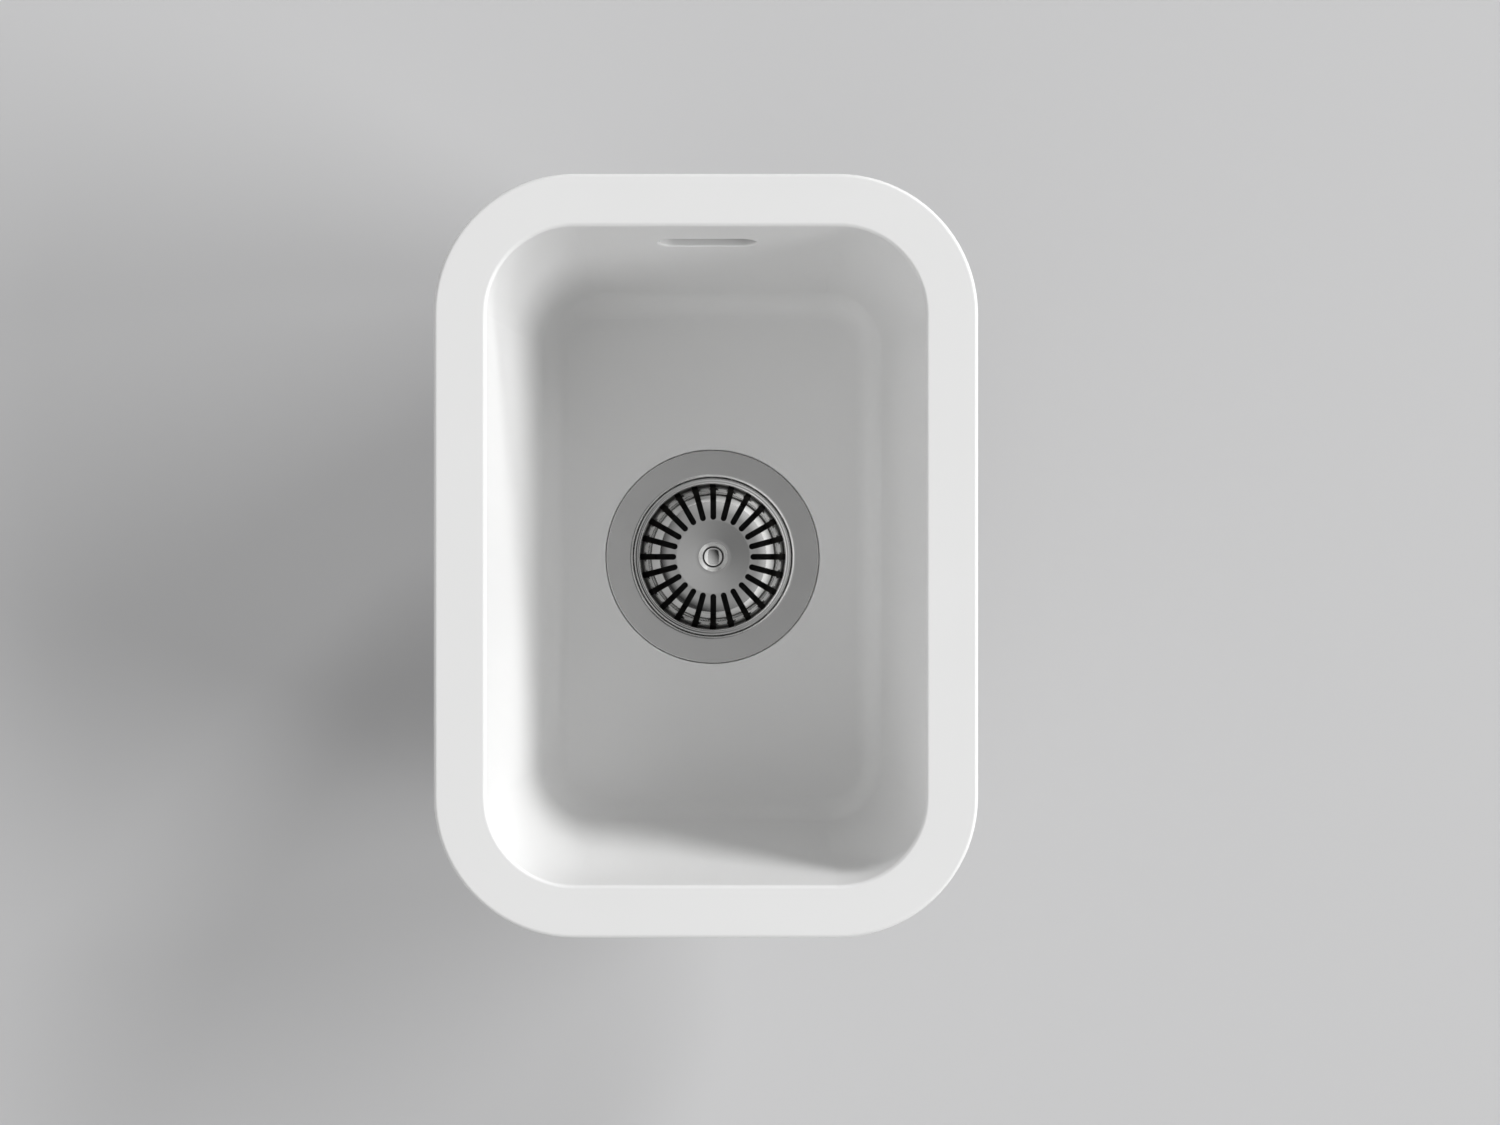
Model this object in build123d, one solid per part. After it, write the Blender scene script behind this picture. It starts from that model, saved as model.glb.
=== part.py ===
from build123d import *
import os
from math import cos, pi, radians, sin, tan

# Small undermount bowl with a basket strainer waste and an overflow in its back wall.
# Origin: centre of the bowl's opening, in the rim's top plane. +X right, +Y back, +Z up.
# Lengths are in millimetres, angles in degrees.

# Bowl and rim
BOWL_WIDTH = 200.0
BOWL_LENGTH = 300.0
BOWL_DEPTH = 150.0
BOWL_CORNER_R = 40.0
WALL_DRAFT = 4.0
WALL_THICKNESS = 10.0
FLOOR_THICKNESS = 12.0
FLOOR_FILLET_R = 13.0
RIM_WIDTH = 24.0
RIM_THICKNESS = 12.0
RIM_EDGE_R = 1.8
RIM_ROOT_R = 6.0

# Overflow slot through the back wall, and the flat pad behind it
SLOT_LENGTH = 46.0
SLOT_HEIGHT = 14.0
SLOT_DROP = 32.0
SLOT_EDGE_R = 1.0
PAD_STAND = 0.6

# Overflow housing and its gasket
GASKET_THICKNESS = 2.0
PLATE_THICKNESS = 4.0
PLATE_MARGIN_X = 15.0
PLATE_MARGIN_Z = 9.0
PLATE_CORNER_R = 5.0
WINDOW_MARGIN_X = 1.0
WINDOW_MARGIN_Z = 6.0
WINDOW_CORNER_R = 2.5
HOUSING_WALL = 2.5
HOUSING_EDGE_R = 1.5
HOUSING_SLOPE_DROP = 24.0
HOUSING_SLOPE_IN = 6.5
HOUSING_FOOT = 2.5

# Fixings of the overflow housing
HOUSING_SCREW_R = 2.0
HOUSING_SCREW_LENGTH = 12.5
HOUSING_SCREW_EDGE = 7.0
HOUSING_SCREW_HEAD_R = 3.8
HOUSING_SCREW_HEAD_HEIGHT = 2.4
HOUSING_SCREW_HEAD_ROUND = 0.9
HOUSING_SCREW_PLAY = 0.3
CROSS_WIDTH = 0.9
CROSS_LENGTH = 4.4
CROSS_DEPTH = 1.2
WALL_INSERT_R = 3.4
WALL_INSERT_LENGTH = 8.0

# Overflow hose, its spigots and union nuts
SPIGOT_BORE_R = 7.5
SPIGOT_WALL = 3.7
SPIGOT_LENGTH = 16.0
INLET_REACH = 14.0
HOSE_BORE_R = 8.0
HOSE_WALL = 2.0
RIB_HEIGHT = 1.5
RIB_PITCH = 4.0
RIB_ROOT_SHARE = 0.3
RIB_RIDGE_SHARE = 0.3
HOSE_BEND_R = 70.0
HOSE_CUFF = 17.0
COLLAR_THICKNESS = 2.5
HOSE_SEAL_THICKNESS = 1.5
NUT_WALL = 2.1
NUT_LENGTH = 16.0
NUT_LIP = 3.0
NUT_START_ROUND = 0.6
NUT_END_ROUND = 1.2
NUT_FLUTES = 18
NUT_FLUTE_R = 0.8
NUT_TO_WALL = 2.0

# Waste flange and cup, pressed from one sheet
SEAT_R = 43.0
SEAT_WIDTH = 2.0
SEAT_DROP = 2.0
SEAT_WALL_RUN = 0.6
FLANGE_WIDTH = 14.0
FLANGE_SHEET = 1.2
FLANGE_GAP = 0.5
FLANGE_SEAL_THICKNESS = 1.3
FLANGE_SEAL_INSET = 1.5
WASTE_HOLE_PLAY = 1.0
PLUG_SPACE = 13.1
CUP_SHEET = 1.0
CUP_FLOOR_ROUND = 6.0
FLANGE_MOUTH_ROUND = 1.8
PRESSED_OUTER_ROUND = 0.8
PRESSED_INNER_ROUND = 0.4
DRAIN_HOLES = 8
DRAIN_HOLE_R = 5.5
DRAIN_INSET = 11.5

# Clamp screw that pulls the waste body up against the bowl
CLAMP_SCREW_R = 4.0
CLAMP_SCREW_STAND = 1.7
CLAMP_SCREW_PLAY = 0.3
CLAMP_HEAD_R = 7.5
CLAMP_HEAD_ROUND = 0.8
CLAMP_TIP_ROUND = 0.6
CLAMP_SOCKET_DEPTH = 9.0
CLAMP_SOCKET_ROUND = 0.4
CLAMP_SLOT_WIDTH = 1.6
CLAMP_SLOT_DEPTH = 2.5
CLAMP_WASHER_R = 10.0
CLAMP_WASHER_THICKNESS = 0.8

# Waste body under the bowl
WASTE_GASKET_THICKNESS = 3.0
WASTE_GASKET_INSET = 1.4
WASTE_FLANGE_INSET = 1.0
WASTE_FLANGE_THICKNESS = 4.0
WASTE_FLANGE_TOP_ROUND = 0.5
WASTE_FLANGE_END_ROUND = 1.0
WASTE_FLANGE_ROOT_ROUND = 1.5
BARREL_PLAY = 1.0
WASTE_WALL = 3.0
CONE_LENGTH = 16.0
CONE_OUTER_ROUND = 5.0
CONE_INNER_ROUND = 4.0
OUTLET_R = 23.9
OUTLET_WALL = 3.4
OUTLET_LENGTH = 24.0
OUTLET_ROOT_ROUND = 3.0
OUTLET_END_ROUND = 1.0
INLET_RISE = 8.0
HUB_WALL = 3.0
HUB_LENGTH = 12.0
HUB_DROP = 3.0
WEBS = 4
WEB_THICKNESS = 3.0
WEB_HEIGHT = 8.0
HUB_INSERT_WALL = 2.5
HUB_INSERT_FLANGE_WIDTH = 2.0
HUB_INSERT_FLANGE_THICKNESS = 1.5
HUB_INSERT_ROUND = 0.4

# Strainer basket, pressed from one sheet
BASKET_SHEET = 0.8
BASKET_DEPTH = 20.0
BASKET_WALL_PLAY = 1.8
BASKET_WALL_DRAFT = 6.0
BASKET_FLOOR_ROUND = 14.0
LIP_PLAY = 1.1
LIP_DROP = 0.9
LIP_ROUND = 1.2
LIP_BEAD_WIDTH = 0.6
LIP_BEAD_RISE = 0.2
LIP_BEAD_SLOPE = 0.6
LIP_BEAD_ROUND = 0.2
DOME_RISE = 1.0
DOME_FOOT_INSET = 19.0
DOME_FOOT_ROUND = 12.0
DOME_SLOPE_RUN = 11.2
DOME_TOP_ROUND = 20.0
SLITS = 24
SLIT_WIDTH = 3.2
SLIT_REACH = 18.9
SLIT_TOP_DROP = 2.0
HUB_RING_FOOT_WIDTH = 2.4
HUB_RING_TOP_WIDTH = 0.4
HUB_RING_HEIGHT = 1.1
HUB_RING_EDGE = 0.15
HUB_RING_ROUND = 0.3

# Stem under the basket, and the plug on it that closes the drain holes
STEM_R = 3.0
STEM_TIP_ROUND = 0.6
STEM_HEAD_R = 5.0
STEM_HEAD_HEIGHT = 2.4
STEM_HEAD_DOME_R = 12.0
STEM_HEAD_GAP = 0.6
CATCH_RING_UP = 2.0
CATCH_RING_HEIGHT = 1.0
CATCH_RING_WIDTH = 0.7
CATCH_RING_OPENING = 60.0
CARRIER_TOP_R = 9.0
CARRIER_R = 12.5
CARRIER_SHOULDER = 3.0
CARRIER_CAP = 3.2
CARRIER_FLANGE_R = 18.0
CARRIER_FLANGE_THICKNESS = 2.0
CARRIER_HOLLOW_PLAY = 0.8
CARRIER_ROUND = 0.6
CARRIER_EDGE_ROUND = 0.4
PLUG_SEAL_EDGE = 2.5
PLUG_SEAL_THICKNESS = 2.5
PLUG_SEAL_ROUND = 1.2
PLUG_SEAL_LIP = 3.0
PLUG_SEAL_LIP_ROUND = 0.8
PLUG_NUT_R = 17.0
PLUG_NUT_THICKNESS = 1.7
PLUG_NUT_RISE = 1.3

# Clearances
RUNNING_FIT = 0.05
PUSH_FIT = 0.02
THREAD_PLAY = 0.2
RUNNING_GAP = 0.3

# How far a cutting tool runs past what it cuts, and how near two levels count as one
OVERCUT = 5.0
SAME = 1e-3

# Levels of the bowl and of what hangs under it
DRAFT_TAN = tan(radians(WALL_DRAFT))
WALL_RUN = WALL_THICKNESS / cos(radians(WALL_DRAFT))
FLOOR_Z = -BOWL_DEPTH
UNDERSIDE_Z = FLOOR_Z - FLOOR_THICKNESS
RECESS_DEPTH = FLANGE_SHEET + FLANGE_SEAL_THICKNESS
CUP_FLOOR_Z = FLOOR_Z - LIP_DROP - BASKET_DEPTH - PLUG_SPACE
CLAMP_HEAD_Z = CUP_FLOOR_Z + CLAMP_WASHER_THICKNESS
HUB_TOP_Z = CUP_FLOOR_Z - CUP_SHEET - HUB_DROP
HUB_END_Z = HUB_TOP_Z - HUB_LENGTH
HUB_INSERT_END_Z = HUB_END_Z - HUB_INSERT_FLANGE_THICKNESS
CLAMP_END_Z = HUB_INSERT_END_Z - CLAMP_SCREW_STAND
WASTE_TOP_Z = UNDERSIDE_Z - WASTE_GASKET_THICKNESS
CONE_END_Z = HUB_END_Z - CONE_LENGTH
OUTLET_END_Z = CONE_END_Z - OUTLET_LENGTH
INLET_Z = HUB_END_Z + INLET_RISE

# Radii of the waste
FLANGE_R = SEAT_R + FLANGE_WIDTH
CUP_R = SEAT_R - SEAT_WIDTH
WASTE_FLANGE_R = FLANGE_R - WASTE_FLANGE_INSET
WASTE_HOLE_R = SEAT_R + CUP_SHEET + WASTE_HOLE_PLAY
BARREL_R = CUP_R + CUP_SHEET + BARREL_PLAY
BARREL_OUTER_R = BARREL_R + WASTE_WALL
OUTLET_BORE_R = OUTLET_R - OUTLET_WALL
HUB_INSERT_R = CLAMP_SCREW_R + HUB_INSERT_WALL
INLET_END_Y = BARREL_OUTER_R + INLET_REACH

# Levels of the strainer, at rest with its plug down
LIP_TOP_Z = FLOOR_Z - LIP_DROP
DISC_Z = LIP_TOP_Z - BASKET_DEPTH
DOME_Z = DISC_Z + DOME_RISE
STEM_HEAD_Z = DOME_Z + RUNNING_GAP
CARRIER_TOP_Z = DOME_Z - BASKET_SHEET - RUNNING_GAP
CARRIER_HOLLOW_Z = CARRIER_TOP_Z - CARRIER_CAP
CLAMP_TOP_Z = CARRIER_HOLLOW_Z - RUNNING_GAP
STEM_END_Z = CLAMP_TOP_Z - CLAMP_SOCKET_DEPTH + RUNNING_GAP
PLUG_NUT_Z = CUP_FLOOR_Z + PLUG_NUT_RISE
PLUG_SEAL_Z = PLUG_NUT_Z + PLUG_NUT_THICKNESS
CARRIER_FLANGE_Z = PLUG_SEAL_Z + PLUG_SEAL_THICKNESS

# Radii of the strainer and its plug
LIP_R = SEAT_R - LIP_PLAY
BASKET_WALL_R = CUP_R - BASKET_WALL_PLAY
DOME_FOOT_R = BASKET_WALL_R - DOME_FOOT_INSET
DOME_TOP_R = DOME_FOOT_R - DOME_SLOPE_RUN
SLIT_START_R = BASKET_WALL_R - SLIT_REACH
HUB_RING_BORE_R = STEM_HEAD_R + STEM_HEAD_GAP
PLUG_SEAL_R = CUP_R - CUP_FLOOR_ROUND - PLUG_SEAL_EDGE
DRAIN_PITCH_R = PLUG_SEAL_R - DRAIN_INSET

# Outlines and places of the overflow
PLATE_WIDTH = SLOT_LENGTH + 2 * PLATE_MARGIN_X
PLATE_HEIGHT = SLOT_HEIGHT + 2 * PLATE_MARGIN_Z
WINDOW_WIDTH = SLOT_LENGTH + 2 * WINDOW_MARGIN_X
WINDOW_HEIGHT = SLOT_HEIGHT + 2 * WINDOW_MARGIN_Z
PLATE_END_Z = -SLOT_DROP - PLATE_HEIGHT / 2
WINDOW_TOP_Z = -SLOT_DROP + WINDOW_HEIGHT / 2
WINDOW_END_Z = -SLOT_DROP - WINDOW_HEIGHT / 2
PAD_Y = BOWL_LENGTH / 2 + WALL_RUN + PAD_STAND
PLATE_Y = PAD_Y + GASKET_THICKNESS
HEAD_Y = PLATE_Y + PLATE_THICKNESS
SCREW_X = PLATE_WIDTH / 2 - HOUSING_SCREW_EDGE
SPIGOT_R = SPIGOT_BORE_R + SPIGOT_WALL
HOUSING_END_Z = PLATE_END_Z - HOUSING_FOOT
SPIGOT_END_Z = HOUSING_END_Z - SPIGOT_LENGTH
NUT_BORE_R = SPIGOT_R + THREAD_PLAY
NUT_R = NUT_BORE_R + NUT_WALL
NUT_REACH = HOSE_SEAL_THICKNESS + COLLAR_THICKNESS + NUT_LIP
NUT_TOP_Z = SPIGOT_END_Z + NUT_LENGTH - NUT_REACH
HOSE_Y = BOWL_LENGTH / 2 + WALL_RUN + NUT_TOP_Z * DRAFT_TAN + NUT_R + NUT_TO_WALL
HOUSING_BACK_Y = HOSE_Y + SPIGOT_BORE_R + HOUSING_WALL

# The hose's route: level from the waste body, one bend, then straight up to the housing
HOSE_ROOT_R = HOSE_BORE_R + HOSE_WALL
HOSE_RIDGE_R = HOSE_ROOT_R + RIB_HEIGHT
HOSE_START_Y = INLET_END_Y + HOSE_SEAL_THICKNESS
HOSE_END_Z = SPIGOT_END_Z - HOSE_SEAL_THICKNESS
LEVEL_RUN = HOSE_Y - HOSE_BEND_R - HOSE_START_Y
BEND_RUN = HOSE_BEND_R * pi / 2
HOSE_LENGTH = LEVEL_RUN + BEND_RUN + HOSE_END_Z - (INLET_Z + HOSE_BEND_R)


def turned(*corners):
    """A solid of revolution about Z. Each corner is (radius, height, rounding)."""
    outline = make_face(Polyline([(r, 0, z) for r, z, _ in corners], close=True)).face()
    for r, z, rounding in corners:
        if rounding:
            corner = outline.vertices().sort_by_distance((r, 0, z))[0]
            outline = outline.fillet_2d(rounding, [corner])
    return revolve(outline, Axis.Z)


def ring(inner_r, outer_r, low_z, high_z):
    """A plain ring about Z."""
    return turned((inner_r, low_z, 0), (outer_r, low_z, 0), (outer_r, high_z, 0), (inner_r, high_z, 0))


def around(count, tool, start_angle=0.0):
    """Copies of a tool, evenly spaced about Z."""
    return [Rot(0, 0, start_angle + 360.0 * i / count) * tool for i in range(count)]


def facing_back(y, z=-SLOT_DROP):
    """A plane square to Y whose normal is +Y and whose X is the object's X."""
    return Plane(origin=(0, y, z), x_dir=(1, 0, 0), z_dir=(0, 1, 0))


def level_edges(shape, z):
    """The edges that lie wholly in the level plane at z."""
    return shape.edges().filter_by(lambda e: all(abs((e @ t).Z - z) < SAME for t in (0, 0.5, 1)))


def save(name, *solids):
    """Writes one sub-part, which is one solid or a group of like solids."""
    shape = solids[0] if len(solids) == 1 else Compound(children=list(solids))
    shape.label = name
    export_step(shape, "parts/" + name + ".step")


# ---- bowl ----


def tapered_block(width, length, corner_r, depth, bottom_r):
    """A rounded block that narrows down from the rim's plane and has a rounded bottom."""
    outline = RectangleRounded(width, length, corner_r)
    block = extrude(outline, amount=-depth, taper=WALL_DRAFT)
    return fillet(level_edges(block, -depth), bottom_r)


def rim_and_shell():
    """The bowl as a solid block under its rim, with the rim's root rounded."""
    shell = tapered_block(
        BOWL_WIDTH + 2 * WALL_RUN,
        BOWL_LENGTH + 2 * WALL_RUN,
        BOWL_CORNER_R + WALL_RUN,
        BOWL_DEPTH + FLOOR_THICKNESS,
        FLOOR_FILLET_R + WALL_THICKNESS,
    )
    rim_outline = RectangleRounded(
        BOWL_WIDTH + 2 * RIM_WIDTH,
        BOWL_LENGTH + 2 * RIM_WIDTH,
        BOWL_CORNER_R + RIM_WIDTH,
    )
    body = shell + extrude(rim_outline, amount=-RIM_THICKNESS)
    rim_underside = body.faces().filter_by(lambda f: abs(f.center().Z + RIM_THICKNESS) < SAME)[0]
    return fillet(rim_underside.inner_wires()[0].edges(), RIM_ROOT_R)


def overflow_pad():
    """The flat pad on the back of the bowl, up into the rim, for the overflow's gasket."""
    top_z = -RIM_THICKNESS / 2
    height = top_z - PLATE_END_Z
    depth = PAD_Y - BOWL_LENGTH / 2
    pad = Pos(0, PAD_Y - depth / 2, top_z - height / 2) * Box(PLATE_WIDTH, depth, height)
    return fillet(level_edges(pad, PLATE_END_Z).filter_by(Axis.Y), PLATE_CORNER_R)


def basin():
    body = rim_and_shell() + overflow_pad()
    body -= tapered_block(BOWL_WIDTH, BOWL_LENGTH, BOWL_CORNER_R, BOWL_DEPTH, FLOOR_FILLET_R)
    body = fillet(level_edges(body, 0), RIM_EDGE_R)
    body -= Pos(0, 0, FLOOR_Z) * Cylinder(FLANGE_R + FLANGE_GAP, 2 * RECESS_DEPTH)
    body -= Pos(0, 0, UNDERSIDE_Z) * Cylinder(WASTE_HOLE_R, 2 * FLOOR_THICKNESS)
    slot = facing_back(0) * SlotOverall(SLOT_LENGTH, SLOT_HEIGHT)
    body -= extrude(slot, amount=BOWL_LENGTH)
    body = fillet(slot_mouth(body), SLOT_EDGE_R)
    hole = Circle(WALL_INSERT_R + PUSH_FIT)
    for x in (-SCREW_X, SCREW_X):
        body -= extrude(facing_back(PAD_Y) * Pos(x, 0) * hole, amount=-WALL_INSERT_LENGTH - RUNNING_GAP)
    return body


def slot_mouth(body):
    """The edges where the overflow slot meets the bowl's inner face."""
    found = []
    for edge in body.edges():
        middle = edge @ 0.5
        on_wall = abs(middle.Y - BOWL_LENGTH / 2 - middle.Z * DRAFT_TAN) < SAME
        beside_slot = abs(middle.X) < SLOT_LENGTH and abs(middle.Z + SLOT_DROP) < SLOT_HEIGHT
        if on_wall and beside_slot:
            found.append(edge)
    return found


# ---- overflow ----


def plate(y, thickness):
    """The outline that the gasket and the housing's plate share, less its screw holes."""
    outline = RectangleRounded(PLATE_WIDTH, PLATE_HEIGHT, PLATE_CORNER_R)
    for x in (-SCREW_X, SCREW_X):
        outline -= Pos(x, 0) * Circle(HOUSING_SCREW_R + HOUSING_SCREW_PLAY)
    return extrude(facing_back(y) * outline, amount=thickness)


def overflow_gasket():
    window = RectangleRounded(WINDOW_WIDTH, WINDOW_HEIGHT, WINDOW_CORNER_R)
    return plate(PAD_Y, GASKET_THICKNESS) - extrude(facing_back(PAD_Y) * window, amount=GASKET_THICKNESS)


def housing_block(inset, end_z):
    """The housing's box with its sloped back, drawn in from the outside by an inset."""
    back_y = HOUSING_BACK_Y - inset
    top_z = WINDOW_TOP_Z + HOUSING_WALL - inset
    side = Polyline(
        (0, PLATE_Y, top_z),
        (0, back_y - HOUSING_SLOPE_IN, top_z),
        (0, back_y, top_z - HOUSING_SLOPE_DROP),
        (0, back_y, end_z),
        (0, PLATE_Y, end_z),
        close=True,
    )
    half_width = WINDOW_WIDTH / 2 + HOUSING_WALL - inset
    return extrude(make_face(side), amount=half_width, both=True)


def upright_cylinder(radius, low_z, high_z):
    """A cylinder on the hose's upright line."""
    return Pos(0, HOSE_Y, (low_z + high_z) / 2) * Cylinder(radius, high_z - low_z)


def overflow_housing():
    box = housing_block(0, HOUSING_END_Z)
    box = fillet([e for e in box.edges() if (e @ 0.5).Y > HEAD_Y], HOUSING_EDGE_R)
    housing = box + plate(PLATE_Y, PLATE_THICKNESS)
    housing += upright_cylinder(SPIGOT_R, SPIGOT_END_Z, HOUSING_END_Z)
    housing -= housing_block(HOUSING_WALL, WINDOW_END_Z)
    return housing - upright_cylinder(SPIGOT_BORE_R, SPIGOT_END_Z, WINDOW_END_Z)


def housing_screw(x):
    shank = extrude(facing_back(HEAD_Y) * Circle(HOUSING_SCREW_R), amount=-HOUSING_SCREW_LENGTH)
    head = extrude(facing_back(HEAD_Y) * Circle(HOUSING_SCREW_HEAD_R), amount=HOUSING_SCREW_HEAD_HEIGHT)
    head = fillet(head.edges().sort_by(Axis.Y)[-1], HOUSING_SCREW_HEAD_ROUND)
    bar = Rectangle(CROSS_LENGTH, CROSS_WIDTH)
    top = facing_back(HEAD_Y + HOUSING_SCREW_HEAD_HEIGHT)
    cross = extrude(top * (bar + Rot(0, 0, 90) * bar), amount=-CROSS_DEPTH)
    return Pos(x, 0, 0) * (shank + head - cross)


def wall_insert(x):
    outline = Circle(WALL_INSERT_R) - Circle(HOUSING_SCREW_R + PUSH_FIT)
    return Pos(x, 0, 0) * extrude(facing_back(PAD_Y) * outline, amount=-WALL_INSERT_LENGTH)


def hose_plane(distance):
    """The plane square to the hose's centre line at a distance along it. Its X stays the object's X."""
    angle = min(max(distance - LEVEL_RUN, 0) / HOSE_BEND_R, pi / 2)
    level = min(distance, LEVEL_RUN)
    rise = max(distance - LEVEL_RUN - BEND_RUN, 0)
    y = HOSE_START_Y + level + HOSE_BEND_R * sin(angle)
    z = INLET_Z + HOSE_BEND_R * (1 - cos(angle)) + rise
    return Plane(origin=(0, y, z), x_dir=(1, 0, 0), z_dir=(0, cos(angle), sin(angle)))


def overflow_hose():
    """A ribbed hose with a plain cuff and a collar at each end."""
    ribbed = HOSE_LENGTH - 2 * HOSE_CUFF
    ribs = round(ribbed / RIB_PITCH)
    pitch = ribbed / ribs
    profile = (
        (RIB_ROOT_SHARE / 2, HOSE_ROOT_R),
        ((1 - RIB_RIDGE_SHARE) / 2, HOSE_RIDGE_R),
        ((1 + RIB_RIDGE_SHARE) / 2, HOSE_RIDGE_R),
        (1 - RIB_ROOT_SHARE / 2, HOSE_ROOT_R),
    )
    sections = [hose_plane(0) * Circle(HOSE_ROOT_R)]
    for rib in range(ribs):
        for share, radius in profile:
            sections.append(hose_plane(HOSE_CUFF + (rib + share) * pitch) * Circle(radius))
    sections.append(hose_plane(HOSE_LENGTH) * Circle(HOSE_ROOT_R))
    hose = loft(sections, ruled=True)
    hose += extrude(hose_plane(0) * Circle(SPIGOT_R), amount=COLLAR_THICKNESS)
    hose += extrude(hose_plane(HOSE_LENGTH) * Circle(SPIGOT_R), amount=-COLLAR_THICKNESS)
    start, end = hose_plane(0).origin, hose_plane(HOSE_LENGTH).origin
    route = FilletPolyline(start, (0, HOSE_Y, INLET_Z), end, radius=HOSE_BEND_R)
    print("hose ribs", ribs, "pitch", round(pitch, 3), "length", round(HOSE_LENGTH, 1))
    return hose - sweep(hose_plane(0) * Circle(HOSE_BORE_R), path=route)


def spigot_ends():
    """The end face of each spigot, with its normal pointing into the hose."""
    lower = facing_back(INLET_END_Y, INLET_Z)
    upper = Plane(origin=(0, HOSE_Y, SPIGOT_END_Z), x_dir=(1, 0, 0), z_dir=(0, 0, -1))
    return {"lower": lower, "upper": upper}


def hose_nut(end):
    """A union nut: threaded over the spigot, with a lip behind the hose's collar."""
    shoulder = NUT_REACH - NUT_LIP
    start = NUT_REACH - NUT_LENGTH
    lip_r = HOSE_ROOT_R + THREAD_PLAY
    nut = turned(
        (NUT_BORE_R, start, 0),
        (NUT_R, start, NUT_START_ROUND),
        (NUT_R, NUT_REACH, NUT_END_ROUND),
        (lip_r, NUT_REACH, 0),
        (lip_r, shoulder, 0),
        (NUT_BORE_R, shoulder, 0),
    )
    flute = Pos(NUT_R, 0, (start + NUT_REACH) / 2) * Cylinder(NUT_FLUTE_R, NUT_LENGTH)
    return end * (nut - around(NUT_FLUTES, flute))


def hose_seal(end):
    return end * ring(HOSE_BORE_R, SPIGOT_R, 0, HOSE_SEAL_THICKNESS)


# ---- waste ----


def flange_cup():
    """The flange in the bowl's floor, the seat for the strainer's lip and the cup below it."""
    seat_z = FLOOR_Z - SEAT_DROP
    hub_hole_r = CLAMP_SCREW_R + CLAMP_SCREW_PLAY
    cup = turned(
        (FLANGE_R, FLOOR_Z, PRESSED_INNER_ROUND),
        (SEAT_R, FLOOR_Z, FLANGE_MOUTH_ROUND),
        (SEAT_R - SEAT_WALL_RUN, seat_z, PRESSED_INNER_ROUND),
        (CUP_R, seat_z, PRESSED_OUTER_ROUND),
        (CUP_R, CUP_FLOOR_Z, CUP_FLOOR_ROUND),
        (hub_hole_r, CUP_FLOOR_Z, 0),
        (hub_hole_r, CUP_FLOOR_Z - CUP_SHEET, 0),
        (CUP_R + CUP_SHEET, CUP_FLOOR_Z - CUP_SHEET, CUP_FLOOR_ROUND + CUP_SHEET),
        (CUP_R + CUP_SHEET, seat_z - CUP_SHEET, PRESSED_INNER_ROUND),
        (SEAT_R + CUP_SHEET, seat_z - CUP_SHEET, PRESSED_OUTER_ROUND),
        (SEAT_R + CUP_SHEET, FLOOR_Z - FLANGE_SHEET, PRESSED_INNER_ROUND),
        (FLANGE_R, FLOOR_Z - FLANGE_SHEET, 0),
    )
    hole = Pos(DRAIN_PITCH_R, 0, CUP_FLOOR_Z) * Cylinder(DRAIN_HOLE_R, 2 * (CUP_SHEET + OVERCUT))
    return cup - around(DRAIN_HOLES, hole)


def flange_seal():
    top_z = FLOOR_Z - FLANGE_SHEET
    inner_r = WASTE_HOLE_R + FLANGE_SEAL_INSET
    return ring(inner_r, FLANGE_R - FLANGE_GAP, top_z - FLANGE_SEAL_THICKNESS, top_z)


def clamp_washer():
    return ring(CLAMP_SCREW_R + CLAMP_SCREW_PLAY, CLAMP_WASHER_R, CUP_FLOOR_Z, CLAMP_HEAD_Z)


def clamp_screw():
    """The screw's tall head stands in the cup and holds the strainer's stem in its socket."""
    socket_r = STEM_R + RUNNING_FIT
    socket_z = CLAMP_TOP_Z - CLAMP_SOCKET_DEPTH
    screw = turned(
        (socket_r, CLAMP_TOP_Z, CLAMP_SOCKET_ROUND),
        (CLAMP_HEAD_R, CLAMP_TOP_Z, CLAMP_HEAD_ROUND),
        (CLAMP_HEAD_R, CLAMP_HEAD_Z, 0),
        (CLAMP_SCREW_R, CLAMP_HEAD_Z, 0),
        (CLAMP_SCREW_R, CLAMP_END_Z, CLAMP_TIP_ROUND),
        (0, CLAMP_END_Z, 0),
        (0, socket_z, 0),
        (socket_r, socket_z, 0),
    )
    drive = Box(2 * (CLAMP_HEAD_R + OVERCUT), CLAMP_SLOT_WIDTH, 2 * CLAMP_SLOT_DEPTH)
    return screw - Pos(0, 0, CLAMP_TOP_Z) * drive


def waste_gasket():
    return ring(WASTE_HOLE_R + WASTE_GASKET_INSET, WASTE_FLANGE_R, WASTE_TOP_Z, UNDERSIDE_Z)


def cone_z(radius, drop):
    """Height of the waste body's cone at a radius, inside at a drop of 0."""
    slope = CONE_LENGTH / (BARREL_R - OUTLET_BORE_R)
    return CONE_END_Z + (radius - OUTLET_BORE_R) * slope - drop


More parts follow.
